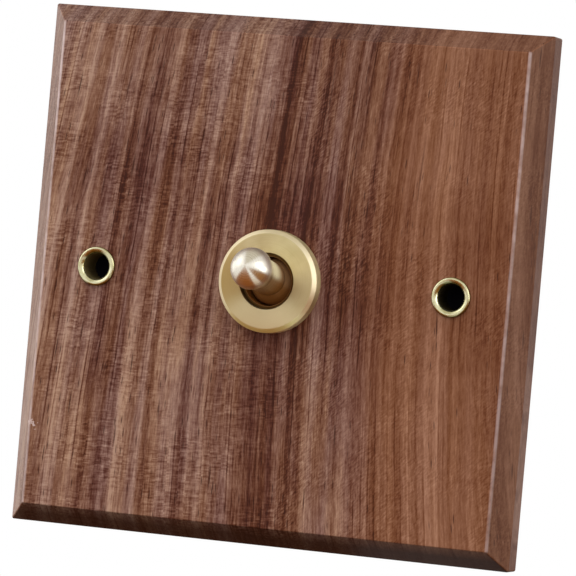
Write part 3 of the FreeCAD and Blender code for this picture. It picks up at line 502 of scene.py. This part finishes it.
# Dolly. A brass lever turned from bar: a round end on a short neck, which widens into a ball on the pivot
# pin, and a hollow tail. It leans up in the collar's well.
PIVOT_Y = -0.0061
LEAN = radians(8.5)
DOME_R = 0.003375
DOME_AT = 0.0117
NECK_R = 0.00275
NECK_AT = 0.009
BALL_R = 0.00385
TAIL_R = 0.0024
TAIL_AT = 0.01231
BORE_R = 0.0017
BORE_AT = 0.00571
NECK_ROUND = 0.0008
lever_axis = Vector((0, -cos(LEAN), sin(LEAN)))
pivot = Vector((0, PIVOT_Y, 0))
outline = arc(-DOME_AT, 0, DOME_R, 90, 0, 16)
outline[0] = (-DOME_AT - DOME_R, 0.0)
outline += [(-NECK_AT, NECK_R)] + arc(0, 0, BALL_R, 45, -52, 12)
outline += [(TAIL_AT, TAIL_R), (TAIL_AT, BORE_R), (BORE_AT, BORE_R), (BORE_AT, 0.0)]
corners = [NECK_ROUND if along == -NECK_AT else 0 for along, out in outline]
dolly = lathe("turned_dolly", outline, -lever_axis, pivot, corners, 128)

# Turned brass: brighter than the collar, its lathe marks fanning the light out from the tip. A golden brown
# is painted where it faces down, a painted reflection, the underside of the neck is painted in a brown shade,
# and the lever is painted brown down in the well, a painted shade. The neck is pale and drawn less metallic
# than the silvery end, a painted light that keeps it bright in the shade of the well.
WELL_BROWN_FULL_AT = 0.0042
WELL_BROWN_END_AT = 0.007
NECK_END_AT = 0.0085
METAL_AT = 0.0105
SILVER_FROM_AT = 0.0095
SILVER_FULL_AT = 0.0115
dolly_brass, tree, shader = finish("bright_turned_brass")
place = put(tree, "TexCoord").node
from_pivot = put(tree, "VectorMath", {0: place.outputs["Object"], 1: pivot}, operation="SUBTRACT")
around = put(tree, "VectorMath", {0: lever_axis, 1: from_pivot}, operation="CROSS_PRODUCT")
reach = put(tree, "VectorMath", {0: around}, operation="LENGTH")
length = put(tree, "VectorMath", {0: lever_axis, 1: from_pivot}, operation="DOT_PRODUCT")
cut = put(tree, "Math", {0: reach, 1: length}, operation="SUBTRACT")
rings = put(tree, "TexNoise", {"W": cut, "Scale": MM / TURNING_MM, "Detail": 2.0}, noise_dimensions="1D")
colour = put(tree, "ValToRGB", {0: rings}, ((0.3, "#FCECB8"), (0.7, "#FFF6D4")))
silvery = put(tree, "ValToRGB", {0: rings}, ((0.3, "#DDD6C6"), (0.7, "#EDE7DA")))
handled = put(tree, "MapRange", {0: length, 1: SILVER_FROM_AT, 2: SILVER_FULL_AT})
colour = put(tree, "Mix", {0: handled, 6: colour, 7: silvery}, data_type="RGBA")
facing = put(tree, "SeparateXYZ", {0: place.outputs["Normal"]}).node.outputs[2]
# Painted reflection: golden brown where the lever faces down.
painted_underside = put(tree, "MapRange", {0: facing, 1: -0.1, 2: -0.8, 4: 0.5}, interpolation_type="SMOOTHSTEP")
colour = put(tree, "Mix", {0: painted_underside, 6: colour, 7: linear("#B98A3C")}, data_type="RGBA")
# Painted shade on the underside of the neck.
painted_neck_shade = put(tree, "MapRange", {0: facing, 1: 0.05, 2: -0.4, 4: 0.85}, interpolation_type="SMOOTHSTEP")
on_neck = put(tree, "MapRange", {0: handled, 3: 1.0, 4: 0.0})
painted_neck_shade = put(tree, "Math", {0: painted_neck_shade, 1: on_neck}, operation="MULTIPLY")
colour = put(tree, "Mix", {0: painted_neck_shade, 6: colour, 7: linear("#85521E")}, data_type="RGBA")
# Painted shade: brown down in the well.
painted_well_brown = put(tree, "MapRange", {0: length, 1: WELL_BROWN_END_AT, 2: WELL_BROWN_FULL_AT, 4: 0.9})
colour = put(tree, "Mix", {0: painted_well_brown, 6: colour, 7: linear("#96602A")}, data_type="RGBA")
tree.links.new(colour, shader.inputs["Base Color"])
rough = put(tree, "MapRange", {0: rings, 1: 0.3, 2: 0.7, 3: 0.27, 4: 0.33})
tree.links.new(rough, shader.inputs["Roughness"])
bump = put(tree, "Bump", {"Height": rings, "Strength": 0.06, "Distance": TURNING_DEEP_MM / MM})
tree.links.new(bump, shader.inputs["Normal"])
tangent = put(tree, "VectorTransform", {0: around}, convert_from="OBJECT", convert_to="WORLD")
tree.links.new(tangent, shader.inputs["Tangent"])
shader.inputs["Anisotropic"].default_value = 0.85
shader.inputs["Anisotropic Rotation"].default_value = 0.25
# The neck is drawn less metallic, a painted light.
bare = put(tree, "MapRange", {0: length, 1: NECK_END_AT, 2: METAL_AT, 3: 0.15, 4: 1.0})
tree.links.new(bare, shader.inputs["Metallic"])
dolly.data.materials.append(dolly_brass)
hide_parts("dolly")
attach(dolly, "dolly")


# Threaded bush and back nut. A machined brass bush with a fine 12 mm thread carries the dolly, with the
# collar screwed on to it from the front and a hexagon nut from behind.
low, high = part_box("threaded_bush")
BUSH_BORE_R = 0.004
CORE_R = 0.00562
CREST_R = 0.00598
FLANGE_R = 0.0072
SPIGOT_R = 0.0052
FLANGE_AT = 0.0002
FRAME_AT = 0.001
BUSH_CHAMFER = 0.0003
BUSH_ROUND = 0.0001
PITCH = 0.00075
ROOT_HALF = 0.00036
CREST_HALF = 0.00006
ROOT_SINK = 0.0001
THREAD_LEAD_IN = 0.0004
THREAD_TURNS = 11.5
TURN_STEPS = 48
bush = lathe("screwed_bush",
             [(low.y, BUSH_BORE_R), (low.y, CORE_R), (FLANGE_AT, CORE_R), (FLANGE_AT, FLANGE_R),
              (FRAME_AT, FLANGE_R), (FRAME_AT, SPIGOT_R), (high.y, SPIGOT_R), (high.y, BUSH_BORE_R)],
             (0, 1, 0), (0, 0, 0), (0, BUSH_CHAMFER, 0, BUSH_ROUND, BUSH_ROUND, 0, BUSH_ROUND, 0))
thread = bmesh.new()
first = low.y + THREAD_LEAD_IN
root_r = CORE_R - ROOT_SINK
ridge = ((root_r, -ROOT_HALF), (CREST_R, -CREST_HALF), (CREST_R, CREST_HALF), (root_r, ROOT_HALF))
thread.faces.new([thread.verts.new((out, first + along, 0.0)) for out, along in ridge])
bmesh.ops.spin(thread, geom=thread.verts[:] + thread.edges[:] + thread.faces[:], cent=(0, 0, 0),
               axis=(0, 1, 0), dvec=(0, PITCH / TURN_STEPS, 0), angle=2 * pi * THREAD_TURNS,
               steps=round(THREAD_TURNS * TURN_STEPS))
bmesh.ops.recalc_face_normals(thread, faces=thread.faces)
thread.from_mesh(bush.data)
thread.to_mesh(bush.data)
thread.free()
bush.data.shade_smooth()
bush.data.set_sharp_from_angle(angle=SHARP_ANGLE)
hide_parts("threaded_bush")
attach(bush, "base")

# Machined brass: golden, with fine tool rings. Round the rim of the bore it is painted a dark brown shade,
# and the bore itself is painted brown and drawn less metallic, a painted light that shows it lit where bare
# brass would go dark.
TOOL_MM = 0.16
STAIN_MM = 3.0
BROWN_R = 0.0046
BROWN_FADE_R = 0.0049
WELL_BROWN_R = 0.00402
WELL_BROWN_FADE_R = 0.00405
machined_brass, tree, shader = finish("machined_brass")
place = put(tree, "TexCoord").node
reach = put(tree, "VectorMath", {0: AXIS, 1: place.outputs["Object"]}, operation="CROSS_PRODUCT")
reach = put(tree, "VectorMath", {0: reach}, operation="LENGTH")
rings = put(tree, "TexNoise", {"W": reach, "Scale": MM / TOOL_MM, "Detail": 2.0}, noise_dimensions="1D")
stain = put(tree, "TexNoise", {"Vector": place.outputs["Object"], "Scale": MM / STAIN_MM, "Detail": 3.0})
marks_and_highlight_share = put(tree, "Math", {0: rings, 1: 0.4, 2: stain}, operation="MULTIPLY_ADD")
colour = put(tree, "ValToRGB", {0: marks_and_highlight_share}, ((0.4, "#A48546"), (0.95, "#C9AC6C")))
# Painted shade: dark brown round the rim of the bore.
inside = put(tree, "MapRange", {0: reach, 1: BROWN_FADE_R, 2: BROWN_R, 4: 0.95})
colour = put(tree, "Mix", {0: inside, 6: colour, 7: linear("#3E2710")}, data_type="RGBA")
# Painted light: the bore is brown and drawn less metallic.
painted_well_brown = put(tree, "MapRange", {0: reach, 1: WELL_BROWN_FADE_R, 2: WELL_BROWN_R})
colour = put(tree, "Mix", {0: painted_well_brown, 6: colour, 7: linear("#9A6228")}, data_type="RGBA")
tree.links.new(colour, shader.inputs["Base Color"])
rough = put(tree, "MapRange", {0: marks_and_highlight_share, 1: 0.3, 2: 1.0, 3: 0.24, 4: 0.4})
tree.links.new(rough, shader.inputs["Roughness"])
bare = put(tree, "MapRange", {0: painted_well_brown, 3: 1.0, 4: 0.2})
tree.links.new(bare, shader.inputs["Metallic"])
bush.data.materials.append(machined_brass)
dress(machined_brass, "back_nut")


# Lock washer, pivot pin and plunger spring. Hardened spring steel, stamped, ground or coiled, left bare
# and lightly oiled, so it is a bluish grey with a patchy film.
FILM_MM = 1.6
spring_steel, tree, shader = finish("oiled_spring_steel")
place = put(tree, "TexCoord").node
film = put(tree, "TexNoise", {"Vector": place.outputs["Object"], "Scale": MM / FILM_MM, "Detail": 4.0})
colour = put(tree, "ValToRGB", {0: film}, ((0.3, "#77767A"), (0.7, "#9A989A")))
tree.links.new(colour, shader.inputs["Base Color"])
rough = put(tree, "MapRange", {0: film, 3: 0.2, 4: 0.45})
tree.links.new(rough, shader.inputs["Roughness"])
shader.inputs["Metallic"].default_value = 1.0
dress(spring_steel, "lock_washer", "pivot_pin", "plunger_spring")


# Switch frame, terminal screws and clamp washers. Mild steel, pressed or turned, then bright zinc plated,
# which leaves a cool sheen with a faint cloudy grain.
PLATING_MM = 2.2
PLATING_DEEP_MM = 0.05
zinc, tree, shader = finish("bright_zinc_plate")
place = put(tree, "TexCoord").node
cloud = put(tree, "TexNoise", {"Vector": place.outputs["Object"], "Scale": MM / PLATING_MM, "Detail": 4.0})
colour = put(tree, "ValToRGB", {0: cloud}, ((0.3, "#A9AAA8"), (0.7, "#C8C8C2")))
tree.links.new(colour, shader.inputs["Base Color"])
rough = put(tree, "MapRange", {0: cloud, 3: 0.22, 4: 0.42})
tree.links.new(rough, shader.inputs["Roughness"])
bump = put(tree, "Bump", {"Height": cloud, "Strength": 0.08, "Distance": PLATING_DEEP_MM / MM})
tree.links.new(bump, shader.inputs["Normal"])
shader.inputs["Metallic"].default_value = 1.0
dress(zinc, "switch_frame", "terminal_screws", "clamp_washers")


# Fibre liner. A stamped card of vulcanised fibre between the frame and the case. It is pressed from felted
# paper, so it is matt, with a red-brown mottle.
FELT_MM = 0.5
fibre, tree, shader = finish("vulcanised_fibre")
place = put(tree, "TexCoord").node
felted = put(tree, "TexNoise", {"Vector": place.outputs["Object"], "Scale": MM / FELT_MM, "Detail": 4.0})
colour = put(tree, "ValToRGB", {0: felted}, ((0.3, "#5A2D1E"), (0.7, "#7C4530")))
tree.links.new(colour, shader.inputs["Base Color"])
shader.inputs["Roughness"].default_value = 0.7
dress(fibre, "fibre_liner")


# Case. A black phenolic moulding that holds the contacts, with two barriers between its terminals. It is
# moulded from filled powder, so faint brown flow marks run through a soft shine.
FLOW_MM = 1.2
FLOW_DEEP_MM = 0.05
phenolic, tree, shader = finish("moulded_phenolic")
place = put(tree, "TexCoord").node
flow = put(tree, "TexNoise", {"Vector": place.outputs["Object"], "Scale": MM / FLOW_MM, "Detail": 5.0})
colour = put(tree, "ValToRGB", {0: flow}, ((0.3, "#14100E"), (0.75, "#2A211C")))
tree.links.new(colour, shader.inputs["Base Color"])
rough = put(tree, "MapRange", {0: flow, 3: 0.3, 4: 0.5})
tree.links.new(rough, shader.inputs["Roughness"])
bump = put(tree, "Bump", {"Height": flow, "Strength": 0.1, "Distance": FLOW_DEEP_MM / MM})
tree.links.new(bump, shader.inputs["Normal"])
dress(phenolic, "case")


# Plunger. A white acetal pin that slides in the dolly's tail against its spring. Acetal is smooth and a
# little milky.
MILKY_MM = 1.0
acetal, tree, shader = finish("acetal")
place = put(tree, "TexCoord").node
milky = put(tree, "TexNoise", {"Vector": place.outputs["Object"], "Scale": MM / MILKY_MM, "Detail": 2.0})
colour = put(tree, "ValToRGB", {0: milky}, ((0.3, "#DEDBD0"), (0.7, "#EBE9E2")))
tree.links.new(colour, shader.inputs["Base Color"])
shader.inputs["Roughness"].default_value = 0.35
dress(acetal, "plunger")


# Terminals. Three strips of half-hard brass, sheared, folded and drilled. Rolling leaves fine lines along
# the strip, dulled a little by handling.
ROLLED_MM = 0.25
strip_brass, tree, shader = finish("rolled_brass_strip")
place = put(tree, "TexCoord").node
rolled = put(tree, "VectorMath", {0: place.outputs["Object"], 1: (0.08, 1.0, 1.0)}, operation="MULTIPLY")
rolled = put(tree, "TexNoise", {"Vector": rolled, "Scale": MM / ROLLED_MM, "Detail": 3.0})
colour = put(tree, "ValToRGB", {0: rolled}, ((0.3, "#B0924F"), (0.7, "#CDB073")))
tree.links.new(colour, shader.inputs["Base Color"])
rough = put(tree, "MapRange", {0: rolled, 3: 0.25, 4: 0.4})
tree.links.new(rough, shader.inputs["Roughness"])
shader.inputs["Metallic"].default_value = 1.0
dress(strip_brass, "common_terminal", "upper_terminal", "lower_terminal")


# Rocker and contacts. A copper blade that rocks on the middle terminal carries two riveted silver contacts,
# which meet two more that are fixed. Tarnished copper is mottled brown and pink.
TARNISH_MM = 1.5
copper, tree, shader = finish("tarnished_copper")
place = put(tree, "TexCoord").node
tarnish = put(tree, "TexNoise", {"Vector": place.outputs["Object"], "Scale": MM / TARNISH_MM, "Detail": 4.0})
colour = put(tree, "ValToRGB", {0: tarnish}, ((0.3, "#8E5138"), (0.7, "#C27C58")))
tree.links.new(colour, shader.inputs["Base Color"])
shader.inputs["Roughness"].default_value = 0.35
shader.inputs["Metallic"].default_value = 1.0
dress(copper, "rocker_blade")

# Contact silver: pale and bright, greyed in spots by the arc.
ARC_MM = 0.6
silver, tree, shader = finish("contact_silver")
place = put(tree, "TexCoord").node
wear = put(tree, "TexNoise", {"Vector": place.outputs["Object"], "Scale": MM / ARC_MM, "Detail": 4.0})
colour = put(tree, "ValToRGB", {0: wear}, ((0.3, "#B4B2AC"), (0.7, "#DAD9D4")))
tree.links.new(colour, shader.inputs["Base Color"])
shader.inputs["Roughness"].default_value = 0.3
shader.inputs["Metallic"].default_value = 1.0
dress(silver, "rocker_contacts", "fixed_contacts")


# Floor, shade and light. A pale floor well below the plate, a dark card close behind each eyelet, a painted
# shade that the eye meets through its bore as it would meet a wall box and that is clear from behind, a soft
# light on each side and a bright room above, with white all round behind.
FLOOR_Z = -0.45
FLOOR_HALF = 0.3
floor_form = bmesh.new()
bmesh.ops.create_grid(floor_form, x_segments=1, y_segments=1, size=FLOOR_HALF)
bmesh.ops.translate(floor_form, vec=(0, 0, FLOOR_Z), verts=floor_form.verts)
floor = settle(floor_form, "floor")
paper, tree, shader = finish("pale_paper")
shader.inputs["Base Color"].default_value = linear("#BDBBB6")
shader.inputs["Roughness"].default_value = 0.9
floor.data.materials.append(paper)

CARD_R = 0.00215
CARD_GAP = 0.0001
painted_shade_card, tree, shader = finish("painted_shade_card")
shader.inputs["Base Color"].default_value = linear("#131217")
shader.inputs["Roughness"].default_value = 1.0
shader.inputs["Specular IOR Level"].default_value = 0.0
behind = put(tree, "NewGeometry").node.outputs["Backfacing"]
clear = put(tree, "BsdfTransparent")
one_sided = put(tree, "MixShader", {0: behind, 1: shader.outputs[0], 2: clear})
tree.links.new(one_sided, tree.nodes["Material Output"].inputs["Surface"])
for name in ("left_eyelet", "right_eyelet"):
    low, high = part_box(name)
    middle = (low + high) / 2
    card_form = bmesh.new()
    bmesh.ops.create_circle(card_form, cap_ends=True, segments=32, radius=CARD_R)
    upright = Matrix.Rotation(radians(90), 3, "X")
    bmesh.ops.rotate(card_form, cent=(0, 0, 0), matrix=upright, verts=card_form.verts)
    bmesh.ops.translate(card_form, vec=(middle.x, high.y + CARD_GAP, middle.z), verts=card_form.verts)
    card = settle(card_form, name + "_card")
    card.data.materials.append(painted_shade_card)

# Boards that only reflections show, as a studio would set them to shape the highlights on metal: a grey one
# overhead and two brown ones below, with a gap between them. They are not lit but glow in their own colour,
# so what the metal shows of them is a painted reflection. Each has its colour, height and corners.
BOARDS = (
    ("grey_board", "#CFC9B9", 0.4,
     ((-0.3, -0.95), (-0.12, -0.95), (0.13, -0.36), (0.2, -0.1), (0.2, 0.35), (-0.25, 0.35), (-0.19, -0.16))),
    ("left_brown_board", "#9A5C1C", -0.05,
     ((-0.6, -1.6), (-0.29, -1.6), (-0.015, -0.26), (0.013, -0.09), (0.017, 0.1),
      (-0.085, 0.1), (-0.075, -0.01), (-0.1, -0.105), (-0.26, -0.5))),
    ("right_brown_board", "#9A6628", -0.05,
     ((0.1, -1.5), (0.95, -1.5), (0.2, 0.05), (0.039, 0.05))),
)
for name, colour, height, corners in BOARDS:
    board_form = bmesh.new()
    board_form.faces.new([board_form.verts.new((across, along, height)) for across, along in corners])
    board = settle(board_form, name)
    painted, tree, shader = finish(name)
    shader.inputs["Base Color"].default_value = linear("#000000")
    shader.inputs["Specular IOR Level"].default_value = 0.0
    shader.inputs["Emission Color"].default_value = linear(colour)
    shader.inputs["Emission Strength"].default_value = 1.0
    board.data.materials.append(painted)
    board.visible_camera = False
    board.visible_diffuse = False
    board.visible_shadow = False

world = bpy.data.worlds.new("studio")
bpy.context.scene.world = world
world.use_nodes = True
tree = world.node_tree
seen = put(tree, "LightPath").node
shown = put(tree, "Math", {0: seen.outputs["Is Camera Ray"], 1: seen.outputs["Is Glossy Ray"]},
            operation="MAXIMUM")
shown = put(tree, "Math", {0: shown, 1: seen.outputs["Is Transmission Ray"]}, operation="MAXIMUM")
up = put(tree, "SeparateXYZ", {0: put(tree, "TexCoord").node.outputs["Generated"]}).node.outputs[2]
up = put(tree, "MapRange", {0: up, 1: -0.4, 2: 0.3})
sky = put(tree, "ValToRGB", {0: up}, ((0.0, "#0C0A09"), (1.0, "#F4F4F4")))
room = put(tree, "Background", {"Color": sky, "Strength": 1.9})
white = put(tree, "Background", {"Color": linear("#FFFFFF"), "Strength": 1.0})
both = put(tree, "MixShader", {0: shown, 1: room, 2: white})
tree.links.new(both, tree.nodes["World Output"].inputs["Surface"])

# The room lights the wood, and the lamps only draw the highlights on metal and polished edges. Each lamp has
# a place, a width, a height and a power in watts.
LAMP_SPREAD = radians(60)
LAMPS = (
    ("left_softbox", (-0.75, -0.42, 0.42), 0.4, 0.9, 0.2),
    ("right_softbox", (0.74, -0.42, 0.36), 0.4, 0.5, 0.2),
    ("right_rim_light", (0.85, -0.12, 0.05), 0.3, 0.3, 0.12),
    ("left_rim_light", (-0.85, 0.3, 0.05), 0.5, 0.5, 0.15),
)
for name, spot, wide, tall, power in LAMPS:
    lamp = bpy.data.lights.new(name, "AREA")
    lamp.shape = "RECTANGLE"
    lamp.size = wide
    lamp.size_y = tall
    lamp.energy = power
    lamp.spread = LAMP_SPREAD
    holder = bpy.data.objects.new(name, lamp)
    holder.location = spot
    holder.rotation_euler = Vector(spot).to_track_quat("Z", "Y").to_euler()
    holder.visible_diffuse = False
    bpy.context.scene.collection.objects.link(holder)
bpy.context.scene.view_settings.view_transform = "Standard"

# Camera. It stands a little to the right of the plate, level with its middle, and is rolled so that the
# plate leans clockwise in the picture.
eye = bpy.data.cameras.new("camera")
eye.sensor_width = 36.0
eye.lens = 263.35
camera = bpy.data.objects.new("camera", eye)
camera.location = (0.219358, -0.646646, -0.001268)
camera.rotation_euler = (radians(90.0406), radians(-5.0769), radians(18.7075))
bpy.context.scene.collection.objects.link(camera)
bpy.context.scene.camera = camera
